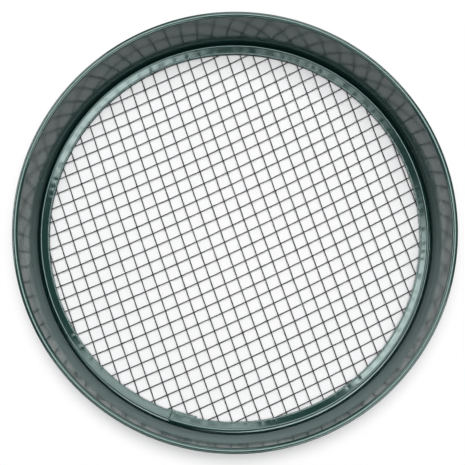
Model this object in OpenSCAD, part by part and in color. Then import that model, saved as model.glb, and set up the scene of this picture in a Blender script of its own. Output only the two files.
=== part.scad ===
// Soil sieve: a steel hoop with a rolled rim, a wire mesh lying on the hoop's
// bottom flange, and a sprung clamp ring that holds the mesh down.
// Origin: centre of the bottom face. +Z is up, millimetres throughout.

/* [Hoop] */
// Outside diameter over the rolled rim
rim_d = 370; // [360:1:380]
// Overall height, flange face to rim top
height = 60; // [50:1:80]
// Outside diameter of the rolled rim's bead
bead_d = 5; // [4.4:0.1:6]
// Inside diameter of the wall where it meets the bottom flange
foot_d = 350.6; // [349.6:0.2:354]
// Thickness of the steel sheet
sheet_t = 0.8; // [0.6:0.1:1]
// Outside radius of the bend between wall and flange
bend_r = 2; // [1.5:0.1:3]
// Inside diameter of the bottom flange
flange_d = 332.4; // [330:0.2:334]
// Direction of the hoop's outside lap seam, in degrees
seam_at = 177; // [0:1:359]
// Width of the lap seam round the hoop
seam_w = 14; // [8:1:20]

/* [Clamp ring] */
// Outside diameter of the clamp ring
ring_d = 346.6; // [345:0.2:347]
// Inside diameter of the clamp ring
ring_hole_d = 331.2; // [330:0.2:332]
// Height of the clamp ring's crest above the mesh
crest_h = 5; // [4.5:0.1:7]
// Outside radius of the crest
crest_r = 1.3; // [1.1:0.1:1.8]
// Width of the flat lip that presses on the mesh
lip_w = 1.2; // [0.8:0.1:2]
// Direction of the ring's upper end, in degrees
lap_at = 250.8; // [0:0.2:359]
// How far the ring's ends overlap, in degrees
lap_sweep = 7.6; // [5:0.2:12]
// Sideways shift of the ring from the hoop's centre
ring_shift_x = -0.4; // [-0.5:0.1:0.5]
// Endways shift of the ring from the hoop's centre
ring_shift_y = 0.7; // [-0.7:0.1:0.7]

/* [Mesh] */
// Diameter of a mesh wire
wire_d = 0.9; // [0.8:0.05:1.3]
// Diameter that the mesh is cut to
mesh_d = 343; // [341:1:345]
// Spacing of the warp wires
warp_pitch = 11.6; // [11.6:0.1:14]
// Spacing of the weft wires
weft_pitch = 11.3; // [11.3:0.1:14]
// Direction of the weft wires at the middle of the mesh, in degrees
weft_turn = 25.4; // [0:0.2:45]
// Angle from the warp wires to the weft wires: 90 is a square mesh
weave_angle = 96; // [86:0.5:98]
// Radius of the bow that the weft wires are pulled into
weft_bow_r = 2900; // [2500:100:20000]
// Radius of the bow that the warp wires are pulled into
warp_bow_r = 12000; // [8000:500:20000]
// Sideways shift of the middle crossing from the hoop's centre
mesh_shift_x = -2.4; // [-5:0.1:5]
// Endways shift of the middle crossing from the hoop's centre
mesh_shift_y = 8.1; // [-9:0.1:9]

/* [Hidden] */
hoop_green = [0.07, 0.19, 0.17];
mesh_green = [0.05, 0.09, 0.08];
steel_grey = [0.6, 0.61, 0.62];

round_fn = 240;
wire_fn = 32;
bow_fn = 1440;
bend_steps = 6;

// Hoop: the bead is a tube rolled outwards round the rim wire.
bead_r = bead_d / 2;
bead_at_r = rim_d / 2 - bead_r;
bead_at_z = height - bead_r;
wall_top_r = rim_d / 2 - bead_d;
foot_r = foot_d / 2;
curl_fit = 0.02;
rim_wire_r = bead_r - sheet_t - curl_fit;

// Mesh: the weft wires lie on the flange, and the warp wires lie on the weft.
mesh_gap = 0.04;
mesh_r = mesh_d / 2;
weft_z = sheet_t + mesh_gap + wire_d / 2;
warp_z = weft_z + wire_d + mesh_gap;
mesh_top = warp_z + wire_d / 2 + mesh_gap;
mesh_shift = [mesh_shift_x, mesh_shift_y];
warp_turn = weft_turn - weave_angle;
warp_step = warp_pitch / sin(weave_angle);
weft_step = weft_pitch / sin(weave_angle);
shortest_chord = 40;
edge_chord = 150;
reach = ceil(mesh_r / weft_pitch) + 3;

// Clamp ring: a strip folded into a crest, with one leg on the mesh.
ring_r = ring_d / 2;
hole_r = ring_hole_d / 2;
crest_at_r = ring_r - crest_r;
crest_at_z = mesh_top + crest_h - crest_r;
face_run = crest_at_r - hole_r - lip_w;
face_rise = crest_at_z - mesh_top - sheet_t;
face_slope = atan2(face_rise, face_run) + asin(crest_r / norm([face_run, face_rise]));

function heading(turn) = [cos(turn), sin(turn)];
function left_of(turn) = [-sin(turn), cos(turn)];

// A wire set as [turn, turn of the other set, distance between its own wires
// along the other set, radius of its bow, height].
WARP = [warp_turn, weft_turn, warp_step, warp_bow_r, warp_z];
WEFT = [weft_turn, warp_turn, weft_step, weft_bow_r, weft_z];

// Wire n of a set: the middle of its bow, its distance from the hoop's centre
// to the left of its direction, and how far along it its bow's middle lies.
function origin(set, n) = mesh_shift + n * set[2] * heading(set[1]);
function offset_of(set, n) = origin(set, n) * left_of(set[0]);
function phase_of(set, n) = origin(set, n) * heading(set[0]);

// The length of wire n in the disc that the mesh is cut to.
function length_of(set, n) = let (off = offset_of(set, n))
    abs(off) < mesh_r ? 2 * sqrt(mesh_r * mesh_r - off * off) : 0;
function wires(set, from, to) = [
    for (n = [-reach : reach]) if (length_of(set, n) > from && length_of(set, n) <= to) n
];
warp_ids = wires(WARP, edge_chord, mesh_d);
weft_ids = wires(WEFT, edge_chord, mesh_d);

// The short wires at the mesh's edges share a node for each set.
warp_edge_ids = wires(WARP, shortest_chord, edge_chord);
weft_edge_ids = wires(WEFT, shortest_chord, edge_chord);

function wire_name(set, k) = str(set, "_wire_", k < 9 ? "0" : "", k + 1);

// Points on a circle arc, for bends in a section.
function arc(centre, r, from, to) = [
    for (k = [0 : bend_steps]) let (a = from + (to - from) * k / bend_steps)
        centre + r * [cos(a), sin(a)]
];

module hoop_section() {
    bend_at = [foot_r + sheet_t - bend_r, bend_r];
    polygon(concat(
        [[flange_d / 2, 0]],
        arc(bend_at, bend_r, -90, 0),
        [[wall_top_r + sheet_t, bead_at_z], [wall_top_r, bead_at_z]],
        arc(bend_at, bend_r - sheet_t, 0, -90),
        [[flange_d / 2, sheet_t]]
    ));
    translate([bead_at_r, bead_at_z]) difference() {
        circle(r = bead_r, $fn = wire_fn);
        circle(r = bead_r - sheet_t, $fn = wire_fn);
    }
}

// The outer layer of the lap seam, on the outside of the wall.
module seam_section() {
    from_z = 6;
    to_z = bead_at_z - bead_d;
    lean = (wall_top_r - foot_r) / (bead_at_z - bend_r);
    low_r = foot_r + lean * (from_z - bend_r) + sheet_t / 2;
    high_r = foot_r + lean * (to_z - bend_r) + sheet_t / 2;
    polygon([
        [low_r, from_z], [low_r + sheet_t, from_z],
        [high_r + sheet_t, to_z], [high_r, to_z]
    ]);
}

module hoop() {
    seam_sweep = seam_w / foot_r * 180 / PI;
    color(hoop_green) {
        rotate_extrude($fn = round_fn) hoop_section();
        rotate([0, 0, seam_at - seam_sweep / 2])
            rotate_extrude(angle = seam_sweep, $fn = round_fn) seam_section();
    }
}

// The wire that stiffens the rim, inside the bead.
module rim_wire() {
    color(steel_grey) translate([0, 0, bead_at_z])
        rotate_extrude($fn = round_fn) translate([bead_at_r, 0]) circle(r = rim_wire_r, $fn = wire_fn);
}

module ring_section() {
    crest_at = [crest_at_r, crest_at_z];
    inner_r = crest_r - sheet_t;
    fold = 90 + face_slope;
    polygon(concat(
        [[hole_r, mesh_top], [hole_r + lip_w + sheet_t * tan(face_slope / 2), mesh_top]],
        arc(crest_at, inner_r, fold, 0),
        [[ring_r - sheet_t, mesh_top], [ring_r, mesh_top]],
        arc(crest_at, crest_r, 0, fold),
        [[hole_r + lip_w, mesh_top + sheet_t], [hole_r, mesh_top + sheet_t]]
    ));
}

// The strip's ends overlap: the upper end lies one thickness above the lower.
module clamp_ring() {
    color(hoop_green) translate([ring_shift_x, ring_shift_y]) {
        rotate_extrude($fn = round_fn) ring_section();
        rotate([0, 0, lap_at]) rotate_extrude(angle = lap_sweep, $fn = round_fn)
            translate([0, sheet_t * 0.75]) ring_section();
    }
}

// Wire n of a set: one long arc, which ends at the edge of the mesh.
module wire(set, n) {
    bow_r = set[3];
    half_length = length_of(set, n) / 2;
    low = (-half_length - phase_of(set, n)) / bow_r * 180 / PI;
    high = (half_length - phase_of(set, n)) / bow_r * 180 / PI;
    color(mesh_green) translate(concat(origin(set, n), [set[4]])) rotate([0, 0, set[0]])
        translate([0, bow_r, 0]) rotate([0, 0, low - 90])
            rotate_extrude(angle = high - low, $fn = bow_fn)
                translate([bow_r, 0]) circle(d = wire_d, $fn = wire_fn);
}

hoop();
rim_wire();
clamp_ring();
for (k = [0 : len(warp_ids) - 1])
    wire(WARP, warp_ids[k]);
for (n = warp_edge_ids) wire(WARP, n);  // warp_edge_wires
for (k = [0 : len(weft_ids) - 1])
    wire(WEFT, weft_ids[k]);
for (n = weft_edge_ids) wire(WEFT, n);  // weft_edge_wires
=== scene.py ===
"""Looks of a soil sieve: glossy dark green sheet steel round a woven wire mesh."""
import math
import random

import bpy
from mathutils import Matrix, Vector


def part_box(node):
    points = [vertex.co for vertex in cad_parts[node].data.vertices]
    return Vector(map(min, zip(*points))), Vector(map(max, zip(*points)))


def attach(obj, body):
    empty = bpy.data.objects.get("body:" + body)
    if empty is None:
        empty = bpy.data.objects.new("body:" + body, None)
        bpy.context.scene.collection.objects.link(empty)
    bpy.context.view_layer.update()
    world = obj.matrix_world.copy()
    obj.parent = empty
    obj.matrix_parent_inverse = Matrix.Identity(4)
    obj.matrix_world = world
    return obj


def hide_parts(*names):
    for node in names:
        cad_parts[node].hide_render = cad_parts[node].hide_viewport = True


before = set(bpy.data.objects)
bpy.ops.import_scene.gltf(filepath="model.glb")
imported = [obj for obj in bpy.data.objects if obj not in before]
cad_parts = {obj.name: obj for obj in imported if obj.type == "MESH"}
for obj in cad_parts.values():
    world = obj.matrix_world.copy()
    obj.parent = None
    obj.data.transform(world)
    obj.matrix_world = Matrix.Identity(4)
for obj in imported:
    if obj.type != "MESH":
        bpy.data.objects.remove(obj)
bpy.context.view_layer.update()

MM = 0.001

# ---------------------------------------------------------------- sizes
_, hoop_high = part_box("hoop")
ring_low, ring_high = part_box("clamp_ring")
warp_low, warp_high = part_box("warp_wire_14")
weft_low, weft_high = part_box("weft_wire_14")

RIM_R = 185 * MM
HEIGHT = hoop_high.z
SHEET_T = 0.8 * MM
BEAD_R = 2.5 * MM
BEND_R = 2.0 * MM
FOOT_R = 175.3 * MM
FLANGE_R = 166.2 * MM
LEAN = (RIM_R - 2 * BEAD_R - FOOT_R) / (HEIGHT - BEAD_R - BEND_R)
SEAM_AT = math.radians(177)
SEAM_W = 14 * MM
SEAM_STEP = 0.22 * MM
SEAM_FROM = 6 * MM
SEAM_ROUND = 0.5 * MM
SPOT_WELDS = 5
SPOT_R = 1.9 * MM
SPOT_DIP = 0.3 * MM
RIPPLE = 0.05 * MM
HOOP_STEPS = 900
WALL_STEPS = 14
CAP_STEPS = 4

RING_R = 173.3 * MM
RING_HOLE_R = 165.6 * MM
RING_SHIFT = (ring_low + ring_high) / 2
CREST_R = 1.3 * MM
LIP_W = 1.2 * MM
RING_TOP = ring_high.z - SHEET_T * 0.75
LAP_AT = math.radians(250.8)
LAP_SWEEP = math.radians(7.6)
SETTLE_SWEEP = math.radians(25)
TUCK = 1.4 * MM
TUCK_SWEEP = math.radians(2)
LIP_PRESS = 0.18 * MM
DIMPLE_W = 1.6 * MM
DIMPLE_REACH = 8 * MM
RING_STEPS = 1440

WIRE_R = (warp_high.z - warp_low.z) / 2
MESH_R = 171.5 * MM
MESH_TOP = warp_high.z + 0.04 * MM
MESH_MID = (warp_high.z + weft_low.z) / 2
CRIMP = (warp_high.z - weft_low.z) / 2 - WIRE_R
WARP_PITCH = 11.6 * MM
WEFT_PITCH = 11.3 * MM
WEFT_TURN = math.radians(25.4)
WEAVE_ANGLE = math.radians(96)
WARP_TURN = WEFT_TURN - WEAVE_ANGLE
WEFT_BOW_R = 2900 * MM
WARP_BOW_R = 12000 * MM
MESH_SHIFT = Vector((-2.4 * MM, 8.1 * MM))
EDGE_CHORD = 150 * MM
SHORTEST_CHORD = 40 * MM
REACH = 18
WIRE_STEP = 1.6 * MM
WIRE_SIDES = 10
JITTER_MM = 0.3
SWAY = 0.12 * MM
SWAY_LENGTH = 41 * MM

# Height band of the painted sheen on the wall's inside, which stands in for reflected light.
PAINTED_SHEEN_FROM = 5 * MM
PAINTED_SHEEN_TOP = 48 * MM
FLOOR_R = 210 * MM
FADE_W = 22 * MM
TABLE_R = 420 * MM
# Grey of the painted shade at the table's edge, which keeps the floor's reflections dim far from
# the sieve.
TABLE_PAINTED_SHADE = (0.15, 0.15, 0.15)
BACKDROP_R = 8.0
BACKDROP_LIFT = 0.05 * MM

CAMERA_AT = (0, -91.3 * MM, 743.9 * MM)
CAMERA_TILT = math.radians(7.11)
LIGHT_DISTANCE = 2.2


# ---------------------------------------------------------------- mesh tools
def new_mesh(name, verts, faces, material, smooth=True):
    mesh = bpy.data.meshes.new(name)
    mesh.from_pydata(verts, [], faces)
    mesh.update()
    mesh.materials.append(material)
    mesh.polygons.foreach_set("use_smooth", [smooth] * len(mesh.polygons))
    piece = bpy.data.objects.new(name, mesh)
    bpy.context.scene.collection.objects.link(piece)
    return piece


def arc(centre, r, start, stop, steps):
    """Points on a circle arc in a section, from angle start to stop in degrees."""
    turns = [math.radians(start + (stop - start) * k / steps) for k in range(steps + 1)]
    return [(centre[0] + r * math.cos(a), centre[1] + r * math.sin(a)) for a in turns]


def line(p, q, steps):
    return [(p[0] + (q[0] - p[0]) * k / steps, p[1] + (q[1] - p[1]) * k / steps)
            for k in range(steps + 1)]


def joined(*runs):
    """Runs of section points end to end, without doubled points."""
    out = []
    for run in runs:
        for p in run:
            if not out or math.dist(out[-1], p) > 0.02 * MM:
                out.append(p)
    return out


def sheet_outline(path, thickness):
    """The closed outline of a sheet whose middle line is path, with rounded ends."""
    half = thickness / 2
    n = len(path)
    normals = []
    for k in range(n):
        a, b = path[max(k - 1, 0)], path[min(k + 1, n - 1)]
        span = math.dist(a, b)
        normals.append(((a[1] - b[1]) / span, (b[0] - a[0]) / span))
    left = [(p[0] + half * m[0], p[1] + half * m[1]) for p, m in zip(path, normals)]
    right = [(p[0] - half * m[0], p[1] - half * m[1]) for p, m in zip(path, normals)]

    def cap(p, m, side):
        start = math.atan2(m[1] * side, m[0] * side)
        turns = [start - math.pi * k / CAP_STEPS for k in range(1, CAP_STEPS)]
        return [(p[0] + half * math.cos(a), p[1] + half * math.sin(a)) for a in turns]

    return (left + cap(path[-1], normals[-1], 1)
            + right[::-1] + cap(path[0], normals[0], -1))


def swept(outline_at, turns, closed):
    """Vertices and faces of a section carried round the Z axis through the given turns."""
    verts, faces = [], []
    for turn in turns:
        c, s = math.cos(turn), math.sin(turn)
        outline = outline_at(turn)
        verts += [(r * c, r * s, z) for r, z in outline]
    m = len(outline)
    rings = len(turns)
    for k in range(rings if closed else rings - 1):
        a, b = k * m, ((k + 1) % rings) * m
        faces += [(a + i, b + i, b + (i + 1) % m, a + (i + 1) % m) for i in range(m)]
    if not closed:
        faces.append(tuple(range(m))[::-1])
        last = (rings - 1) * m
        faces.append(tuple(last + i for i in range(m)))
    return verts, faces


# ---------------------------------------------------------------- hoop
def ripple(turn):
    """The slight unevenness of rolled sheet, either way from 0."""
    waves = ((5, 0.4, 0.5), (11, 1.7, 0.3), (23, 4.1, 0.2), (37, 2.2, 0.12))
    return sum(size * math.sin(count * turn + phase) for count, phase, size in waves)


def seam_step(turn):
    """0 to 1: how much the wall stands in behind the seam's outer layer."""
    gap = abs((turn - SEAM_AT + math.pi) % (2 * math.pi) - math.pi) * FOOT_R
    return min(max((SEAM_W / 2 + 1 * MM - gap) / (1 * MM), 0), 1)


def hoop_outline(turn):
    bead_at = (RIM_R - BEAD_R, HEIGHT - BEAD_R)
    half = SHEET_T / 2
    bend_at = (FOOT_R + SHEET_T - BEND_R, BEND_R)
    wall_low = (FOOT_R + half, BEND_R)
    wall_high = (bead_at[0] - BEAD_R + half, bead_at[1])
    wall = line(wall_low, wall_high, WALL_STEPS)
    wave = RIPPLE * ripple(turn) - SEAM_STEP * seam_step(turn)
    wall = [(r + wave * math.sin(math.pi * k / WALL_STEPS), z) for k, (r, z) in enumerate(wall)]
    path = joined(
        line((FLANGE_R + half, half), (bend_at[0], half), 2),
        arc(bend_at, BEND_R - half, -90, 0, 6),
        wall,
        arc(bead_at, BEAD_R - half, 180, -138, 28),
    )
    return sheet_outline(path, SHEET_T)


def make_hoop(material):
    turns = [2 * math.pi * k / HOOP_STEPS for k in range(HOOP_STEPS)]
    verts, faces = swept(hoop_outline, turns, closed=True)
    return new_mesh("hoop_sheet", verts, faces, material)


def make_seam(material):
    """The lap seam's outer layer, with a row of spot weld dimples down it."""
    bead_z = HEIGHT - BEAD_R
    top = bead_z - 2 * BEAD_R
    across, up = 56, 120
    welds = [SEAM_FROM + (top - SEAM_FROM) * (k + 0.5) / SPOT_WELDS for k in range(SPOT_WELDS)]
    verts, faces = [], []
    for i in range(up + 1):
        z = SEAM_FROM + (top - SEAM_FROM) * i / up
        base = FOOT_R + LEAN * (z - BEND_R) + SHEET_T / 2
        for k in range(across + 1):
            side = (k / across - 0.5) * SEAM_W
            edge = min(SEAM_W / 2 - abs(side), z - SEAM_FROM, top - z) / SEAM_ROUND
            rise = math.sqrt(1 - (1 - min(edge, 1)) ** 2)
            dip = sum(math.exp(-(math.hypot(side, z - w) / SPOT_R) ** 4) for w in welds)
            r = base + SHEET_T * (0.45 + 0.55 * rise) - SPOT_DIP * dip
            a = SEAM_AT + side / FOOT_R
            verts.append((r * math.cos(a), r * math.sin(a), z))
    wide = across + 1
    for i in range(up):
        for k in range(across):
            a = i * wide + k
            faces.append((a, a + 1, a + wide + 1, a + wide))
    front = len(verts)
    for i in (0, up):
        z = SEAM_FROM + (top - SEAM_FROM) * i / up
        base = FOOT_R + LEAN * (z - BEND_R) + SHEET_T / 2
        for k in (0, across):
            a = SEAM_AT + (k / across - 0.5) * SEAM_W / FOOT_R
            verts.append((base * math.cos(a), base * math.sin(a), z))
    low = list(range(wide))
    high = [up * wide + k for k in range(wide)]
    left = [i * wide for i in range(up + 1)]
    right = [i * wide + across for i in range(up + 1)]
    faces += [(front, front + 2, front + 3, front + 1),
              tuple([front, front + 1] + low[::-1]), tuple([front + 3, front + 2] + high),
              tuple([front + 2, front] + left), tuple([front + 1, front + 3] + right[::-1])]
    return new_mesh("hoop_seam", verts, faces, material)


# ---------------------------------------------------------------- mesh wires
def heading(turn):
    return Vector((math.cos(turn), math.sin(turn)))


def left_of(turn):
    return Vector((-math.sin(turn), math.cos(turn)))


WARP = {"name": "warp", "turn": WARP_TURN, "other": WEFT_TURN, "bow": WARP_BOW_R, "side": 1,
        "step": WARP_PITCH / math.sin(WEAVE_ANGLE), "cross": WEFT_PITCH / math.sin(WEAVE_ANGLE)}
WEFT = {"name": "weft", "turn": WEFT_TURN, "other": WARP_TURN, "bow": WEFT_BOW_R, "side": -1,
        "step": WEFT_PITCH / math.sin(WEAVE_ANGLE), "cross": WARP_PITCH / math.sin(WEAVE_ANGLE)}


def origin(wires, n):
    return MESH_SHIFT + n * wires["step"] * heading(wires["other"])


def chord(wires, n):
    off = abs(origin(wires, n).dot(left_of(wires["turn"])))
    return 2 * math.sqrt(MESH_R ** 2 - off ** 2) if off < MESH_R else 0


def numbers(wires, above, up_to):
    return [n for n in range(-REACH, REACH + 1) if above < chord(wires, n) <= up_to]


def wire_path(wires, n, jitter):
    """Points along wire n's middle line, bowed and crimped, and how near each is to a crossing."""
    start = origin(wires, n)
    along, left = heading(wires["turn"]), left_of(wires["turn"])
    half = chord(wires, n) / 2
    phase = start.dot(along)
    low, high = -half - phase, half - phase
    steps = max(8, round((high - low) / WIRE_STEP))
    points, crossing = [], []
    for k in range(steps + 1):
        u = low + (high - low) * k / steps
        aside = u * u / (2 * wires["bow"]) + jitter * MM
        aside += SWAY * math.sin(u / SWAY_LENGTH + 2.3 * n)
        p = start + u * along + aside * left
        wave = math.cos(math.pi * (u / wires["cross"] + n))
        points.append(Vector((p.x, p.y, MESH_MID + wires["side"] * CRIMP * wave)))
        crossing.append(math.cos(math.pi * u / wires["cross"]) ** 2)
    return points, crossing


def tube(path, crossing):
    """A round tube along a path, with flat ends. Paint gathers on it near a crossing."""
    sides = WIRE_SIDES
    verts, faces = [], []
    for k, p in enumerate(path):
        along = (path[min(k + 1, len(path) - 1)] - path[max(k - 1, 0)]).normalized()
        side = along.cross(Vector((0, 0, 1))).normalized()
        up = side.cross(along)
        r = WIRE_R * (1 + 0.04 * crossing[k] ** 6)
        verts += [p + r * (math.cos(a) * side + math.sin(a) * up)
                  for a in (2 * math.pi * i / sides for i in range(sides))]
    for k in range(len(path) - 1):
        a, b = k * sides, (k + 1) * sides
        faces += [(a + i, a + (i + 1) % sides, b + (i + 1) % sides, b + i) for i in range(sides)]
    faces.append(tuple(range(sides))[::-1])
    last = (len(path) - 1) * sides
    faces.append(tuple(last + i for i in range(sides)))
    return verts, faces


def make_wires(material):
    """One piece for each long wire, and one for the short wires at each set's edges."""
    draw = random.Random(7)
    made = {}
    for wires in (WARP, WEFT):
        long_ones = numbers(wires, EDGE_CHORD, 2 * MESH_R)
        groups = {f"{wires['name']}_wire_{k + 1:02d}": [n] for k, n in enumerate(long_ones)}
        groups[f"{wires['name']}_edge_wires"] = numbers(wires, SHORTEST_CHORD, EDGE_CHORD)
        for node, members in groups.items():
            verts, faces = [], []
            for n in members:
                jitter = draw.uniform(-JITTER_MM, JITTER_MM)
                tube_verts, tube_faces = tube(*wire_path(wires, n, jitter))
                faces += [tuple(len(verts) + i for i in face) for face in tube_faces]
                verts += tube_verts
            made[node] = new_mesh(f"woven_{node}", verts, faces, material)
    return made


# ---------------------------------------------------------------- clamp ring
def wire_turns():
    """Where round the ring a wire passes under its lip, as turns from 0 to 2 pi."""
    turns = []
    r = RING_HOLE_R + 1 * MM
    for wires in (WARP, WEFT):
        for n in numbers(wires, SHORTEST_CHORD, 2 * MESH_R):
            start = origin(wires, n)
            along, left = heading(wires["turn"]), left_of(wires["turn"])
            off = start.dot(left)
            if abs(off) >= r:
                continue
            reach = math.sqrt(r * r - off * off)
            for end in (-reach, reach):
                u = end - start.dot(along)
                p = start + u * along + u * u / (2 * wires["bow"]) * left - RING_SHIFT.xy
                turns.append(math.atan2(p.y, p.x) % (2 * math.pi))
    return sorted(turns)


WIRE_TURNS = wire_turns()


def dimple(turn):
    """0 to 1: how much the ring is lifted by the wires under it."""
    total = 0
    for t in WIRE_TURNS:
        gap = abs((turn - t + math.pi) % (2 * math.pi) - math.pi) * RING_HOLE_R
        if gap < DIMPLE_REACH:
            total += math.exp(-(gap / DIMPLE_W) ** 2)
    return min(total, 1.5)


def ring_outline(turn):
    """The clamp ring's section. turn runs from its upper end to its lower end, from LAP_AT."""
    run = turn - LAP_AT
    settle = min(max((run - LAP_SWEEP) / SETTLE_SWEEP, 0), 1)
    lift = SHEET_T * 1.02 * (1 - settle * settle * (3 - 2 * settle))
    tuck = min(max((run - 2 * math.pi) / TUCK_SWEEP + 1, 0), 1) if run > LAP_SWEEP else 0
    hole_r = RING_HOLE_R - TUCK * tuck * tuck * (3 - 2 * tuck)
    press = LIP_PRESS * dimple(turn)
    half = SHEET_T / 2
    crest_at = (RING_R - CREST_R, RING_TOP - CREST_R)
    lip_z = MESH_TOP + half + lift
    face_from = (hole_r + LIP_W, lip_z)
    to_crest = (crest_at[0] - face_from[0], crest_at[1] - face_from[1])
    r = CREST_R - half + lift
    reach = math.hypot(*to_crest)
    slope = math.degrees(math.atan2(to_crest[1], to_crest[0]) + math.asin(r / reach))
    path = joined(
        line((RING_R - half + lift, MESH_TOP + 0.2 * MM), (RING_R - half + lift, crest_at[1]), 4),
        arc(crest_at, r, 0, 90 + slope, 12),
        line((crest_at[0] + r * math.cos(math.radians(90 + slope)),
              crest_at[1] + r * math.sin(math.radians(90 + slope))), face_from, 8),
        line(face_from, (hole_r + half, lip_z), 3),
    )
    inner = RING_HOLE_R + 4 * MM
    path = [(p, z + press * min(max((inner - p) / (4 * MM) + 0.35, 0.15), 1)) for p, z in path]
    return sheet_outline(path, SHEET_T)


def make_clamp_ring(material):
    sweep = 2 * math.pi + LAP_SWEEP
    turns = [LAP_AT + sweep * k / RING_STEPS for k in range(RING_STEPS + 1)]
    verts, faces = swept(ring_outline, turns, closed=False)
    verts = [(x + RING_SHIFT.x, y + RING_SHIFT.y, z) for x, y, z in verts]
    return new_mesh("clamp_ring_strip", verts, faces, material)


# ---------------------------------------------------------------- materials
def shader(name):
    material = bpy.data.materials.new(name)
    material.use_nodes = True
    tree = material.node_tree
    return material, tree, tree.nodes["Principled BSDF"]


def noise(tree, scale, detail=2.0, roughness=0.5):
    place = tree.nodes.new("ShaderNodeTexCoord")
    node = tree.nodes.new("ShaderNodeTexNoise")
    node.inputs["Scale"].default_value = scale
    node.inputs["Detail"].default_value = detail
    node.inputs["Roughness"].default_value = roughness
    tree.links.new(place.outputs["Object"], node.inputs["Vector"])
    return node.outputs["Fac"]


def mapped(tree, value, low, high):
    """Stretches a noise's middle range to go from low to high."""
    node = tree.nodes.new("ShaderNodeMapRange")
    node.inputs["From Min"].default_value = 0.3
    node.inputs["From Max"].default_value = 0.7
    node.inputs["To Min"].default_value = low
    node.inputs["To Max"].default_value = high
    tree.links.new(value, node.inputs["Value"])
    return node.outputs["Result"]


def two_tone(tree, value, dark, light):
    node = tree.nodes.new("ShaderNodeMix")
    node.data_type = "RGBA"
    node.inputs["A"].default_value = (*dark, 1)
    node.inputs["B"].default_value = (*light, 1)
    tree.links.new(value, node.inputs["Factor"])
    return node.outputs["Result"]


def add_bump(tree, surface, height, distance):
    node = tree.nodes.new("ShaderNodeBump")
    node.inputs["Distance"].default_value = distance
    node.inputs["Strength"].default_value = 1.0
    tree.links.new(height, node.inputs["Height"])
    tree.links.new(node.outputs["Normal"], surface.inputs["Normal"])


def green_coat(name, roughness, peel_scale, peel):
    """Powder coat: dark blue-green, with a faint orange peel of the given scale and depth."""
    material, tree, surface = shader(name)
    patch = mapped(tree, noise(tree, 60, 3), 0, 1)
    tree.links.new(two_tone(tree, patch, (0.0085, 0.037, 0.031), (0.0105, 0.044, 0.037)),
                   surface.inputs["Base Color"])
    tree.links.new(mapped(tree, noise(tree, 150, 2), *roughness), surface.inputs["Roughness"])
    surface.inputs["IOR"].default_value = 1.52
    surface.inputs["Specular Tint"].default_value = (0.82, 1.0, 0.97, 1)
    add_bump(tree, surface, noise(tree, peel_scale, 2), peel)
    return material


def ramp(tree, value, start, stop, low, high):
    """Eases from low to high while value goes from start to stop."""
    node = tree.nodes.new("ShaderNodeMapRange")
    node.interpolation_type = "SMOOTHSTEP"
    node.inputs["From Min"].default_value = start
    node.inputs["From Max"].default_value = stop
    node.inputs["To Min"].default_value = low
    node.inputs["To Max"].default_value = high
    tree.links.new(value, node.inputs["Value"])
    return node.outputs["Result"]


def length(tree, vector):
    node = tree.nodes.new("ShaderNodeVectorMath")
    node.operation = "LENGTH"
    tree.links.new(vector, node.inputs[0])
    return node.outputs["Value"]


def times(tree, a, b):
    node = tree.nodes.new("ShaderNodeMath")
    node.operation = "MULTIPLY"
    tree.links.new(a, node.inputs[0])
    tree.links.new(b, node.inputs[1])
    return node.outputs["Value"]


def add_painted_sheen(material):
    """Painted sheen on the wall's inside, seen at grazing angles, between the clamp ring and the
    rim. It stands in for reflected light on the lower wall, and it is stronger towards -Y, the side
    that the light falls on.
    """
    tree = material.node_tree
    surface = tree.nodes["Principled BSDF"]
    place = tree.nodes.new("ShaderNodeTexCoord")
    split = tree.nodes.new("ShaderNodeSeparateXYZ")
    tree.links.new(place.outputs["Object"], split.inputs["Vector"])
    height = split.outputs["Z"]
    # Painted sheen only in a band up the lower wall, where reflected light brightens it.
    sheen_band = times(tree, ramp(tree, height, PAINTED_SHEEN_FROM, 2 * PAINTED_SHEEN_FROM, 0, 1),
                 ramp(tree, height, PAINTED_SHEEN_TOP - 12 * MM, PAINTED_SHEEN_TOP, 1, 0))
    # Painted sheen stronger towards -Y, the side of the wall that the light falls on.
    side = ramp(tree, split.outputs["Y"], -0.3 * RIM_R, 0.8 * RIM_R, 0.55, 0.04)
    flat = tree.nodes.new("ShaderNodeCombineXYZ")
    tree.links.new(split.outputs["X"], flat.inputs["X"])
    tree.links.new(split.outputs["Y"], flat.inputs["Y"])
    upright = tree.nodes.new("ShaderNodeMath")
    upright.operation = "MULTIPLY_ADD"
    upright.inputs[1].default_value = -LEAN
    tree.links.new(height, upright.inputs[0])
    tree.links.new(length(tree, flat.outputs["Vector"]), upright.inputs[2])
    face = FOOT_R - LEAN * BEND_R
    inside = ramp(tree, upright.outputs["Value"], face + 0.3 * MM, face + 0.5 * MM, 1, 0)
    weight = times(tree, times(tree, sheen_band, side), inside)
    tree.links.new(weight, surface.inputs["Sheen Weight"])
    surface.inputs["Sheen Roughness"].default_value = 0.35
    surface.inputs["Sheen Tint"].default_value = (0.75, 0.9, 0.9, 1)


def wire_coat():
    """The same coat on thin dark wire, duller and nearly black."""
    material, tree, surface = shader("wire_powder_coat")
    patch = mapped(tree, noise(tree, 300, 2), 0, 1)
    tree.links.new(two_tone(tree, patch, (0.004, 0.008, 0.007), (0.007, 0.012, 0.011)),
                   surface.inputs["Base Color"])
    tree.links.new(mapped(tree, noise(tree, 1500, 2), 0.34, 0.48), surface.inputs["Roughness"])
    surface.inputs["IOR"].default_value = 1.4
    add_bump(tree, surface, noise(tree, 2200, 2), 0.00002)
    return material


def drawn_steel():
    material, tree, surface = shader("drawn_steel")
    patch = mapped(tree, noise(tree, 200, 3), 0, 1)
    tree.links.new(two_tone(tree, patch, (0.40, 0.40, 0.41), (0.52, 0.52, 0.53)),
                   surface.inputs["Base Color"])
    surface.inputs["Metallic"].default_value = 1.0
    tree.links.new(mapped(tree, noise(tree, 1200, 2), 0.25, 0.4), surface.inputs["Roughness"])
    return material


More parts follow.
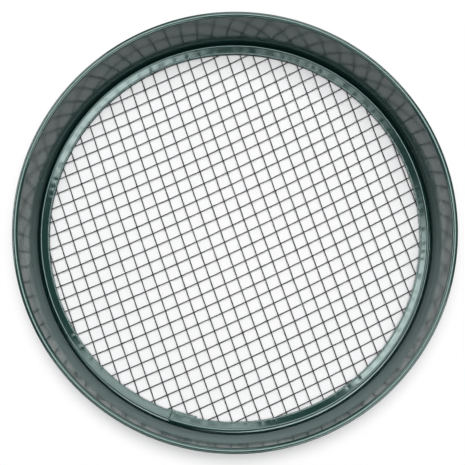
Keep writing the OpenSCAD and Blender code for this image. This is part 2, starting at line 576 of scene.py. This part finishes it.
def floor_white():
    """White under the sieve, with painted shade far from it that darkens towards the table's edge,
    where only reflections show it.
    """
    material, tree, surface = shader("floor_white")
    patch = mapped(tree, noise(tree, 3, 2), 0, 1)
    near = two_tone(tree, patch, (0.86, 0.86, 0.865), (0.88, 0.88, 0.885))
    place = tree.nodes.new("ShaderNodeTexCoord")
    reach = length(tree, place.outputs["Object"])
    # Painted shade: the floor darkens from white to a grey between FLOOR_R and TABLE_R.
    far = two_tone(tree, ramp(tree, reach, FLOOR_R, TABLE_R, 0, 1), (1, 1, 1), TABLE_PAINTED_SHADE)
    product = tree.nodes.new("ShaderNodeMix")
    product.data_type = "RGBA"
    product.blend_type = "MULTIPLY"
    product.inputs["Factor"].default_value = 1
    tree.links.new(near, product.inputs["A"])
    tree.links.new(far, product.inputs["B"])
    tree.links.new(product.outputs["Result"], surface.inputs["Base Color"])
    surface.inputs["Roughness"].default_value = 0.7
    return material


def backdrop_white():
    """An even white that fades in round the sieve."""
    material = bpy.data.materials.new("backdrop_white")
    material.use_nodes = True
    tree = material.node_tree
    tree.nodes.clear()
    output = tree.nodes.new("ShaderNodeOutputMaterial")
    mix = tree.nodes.new("ShaderNodeMixShader")
    clear = tree.nodes.new("ShaderNodeBsdfTransparent")
    glow = tree.nodes.new("ShaderNodeEmission")
    place = tree.nodes.new("ShaderNodeTexCoord")
    reach = length(tree, place.outputs["Object"])
    tree.links.new(ramp(tree, reach, FLOOR_R - FADE_W, FLOOR_R, 0, 1), mix.inputs["Fac"])
    tree.links.new(clear.outputs["BSDF"], mix.inputs[1])
    tree.links.new(glow.outputs["Emission"], mix.inputs[2])
    tree.links.new(mix.outputs["Shader"], output.inputs["Surface"])
    return material


# ---------------------------------------------------------------- scene
def make_camera():
    data = bpy.data.cameras.new("camera")
    data.sensor_width = 36
    data.lens = 64.58
    data.shift_x = -0.0054
    data.clip_start = 0.01
    camera = bpy.data.objects.new("camera", data)
    bpy.context.scene.collection.objects.link(camera)
    camera.location = CAMERA_AT
    camera.rotation_euler = (CAMERA_TILT, 0, 0)
    bpy.context.scene.camera = camera


def softbox(name, azimuth, elevation, size, radiance, lights_floor=False):
    """An area light aimed at the sieve. Azimuth 0 is on +X, 90 on +Y.
    Unless it lights the floor, it shows only in reflections."""
    a, e = math.radians(azimuth), math.radians(elevation)
    data = bpy.data.lights.new(name, "AREA")
    data.shape = "RECTANGLE"
    data.size, data.size_y = size
    data.energy = radiance * math.pi * size[0] * size[1]
    light = bpy.data.objects.new(name, data)
    bpy.context.scene.collection.objects.link(light)
    back = Vector((math.cos(a) * math.cos(e), math.sin(a) * math.cos(e), math.sin(e)))
    light.location = back * LIGHT_DISTANCE
    light.rotation_euler = (math.pi / 2 - e, 0, a + math.pi / 2)
    light.visible_camera = False
    light.visible_diffuse = lights_floor


def make_lights():
    world = bpy.data.worlds.new("studio")
    bpy.context.scene.world = world
    world.use_nodes = True
    world.node_tree.nodes["Background"].inputs["Color"].default_value = (1, 1, 1, 1)
    world.node_tree.nodes["Background"].inputs["Strength"].default_value = 0.16
    softbox("overhead", 75, 80, (2.2, 2.2), radiance=3.9, lights_floor=True)
    softbox("overhead_core", 90, 86, (0.6, 0.6), radiance=11)
    softbox("card_lower_right", -45, 24, (2.8, 0.6), radiance=14)
    softbox("card_upper_left", 153, 17, (2.4, 0.5), radiance=14)
    softbox("card_lower_left", -117, 24, (2.8, 0.4), radiance=9.5)
    softbox("card_top", 70, 22, (2.0, 0.8), radiance=6)


def make_floor():
    """A white table under the sieve, and round and over it a backdrop that only the camera sees."""
    turns = [2 * math.pi * k / 128 for k in range(128)]
    edge = [(TABLE_R * math.cos(a), TABLE_R * math.sin(a), 0) for a in turns]
    table = new_mesh("table", edge, [tuple(range(128))], floor_white(), smooth=False)
    around, up = 64, 16
    verts = []
    for i in range(up):
        r, z = (BACKDROP_R * f(math.pi / 2 * i / up) for f in (math.cos, math.sin))
        verts += [(r * math.cos(a), r * math.sin(a), z)
                  for a in (2 * math.pi * k / around for k in range(around))]
    faces = [tuple(range(around))]
    for i in range(up - 1):
        low, high = i * around, (i + 1) * around
        faces += [(low + k, low + (k + 1) % around, high + (k + 1) % around, high + k)
                  for k in range(around)]
    faces.append(tuple((up - 1) * around + k for k in range(around)))
    backdrop = new_mesh("backdrop", verts, faces, backdrop_white(), smooth=False)
    backdrop.location.z = BACKDROP_LIFT
    backdrop.visible_diffuse = False
    backdrop.visible_glossy = False
    backdrop.visible_shadow = False


def show(piece, *nodes, slot):
    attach(piece, "root")
    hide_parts(*nodes)


make_camera()
make_lights()
make_floor()
hoop_coat = green_coat("hoop_powder_coat", (0.12, 0.17), 70, 0.008 * MM)
# Painted sheen on the hoop's inner wall.
add_painted_sheen(hoop_coat)
ring_coat = green_coat("ring_powder_coat", (0.13, 0.22), 240, 0.03 * MM)
show(make_hoop(hoop_coat), "hoop", slot="green_coat")
show(make_seam(hoop_coat), "hoop", slot="green_coat")
show(make_clamp_ring(ring_coat), "clamp_ring", slot="green_coat")
for node, piece in make_wires(wire_coat()).items():
    show(piece, node, slot="mesh_wire")
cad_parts["rim_wire"].data.materials.clear()
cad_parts["rim_wire"].data.materials.append(drawn_steel())

bpy.context.scene.view_settings.view_transform = "Standard"
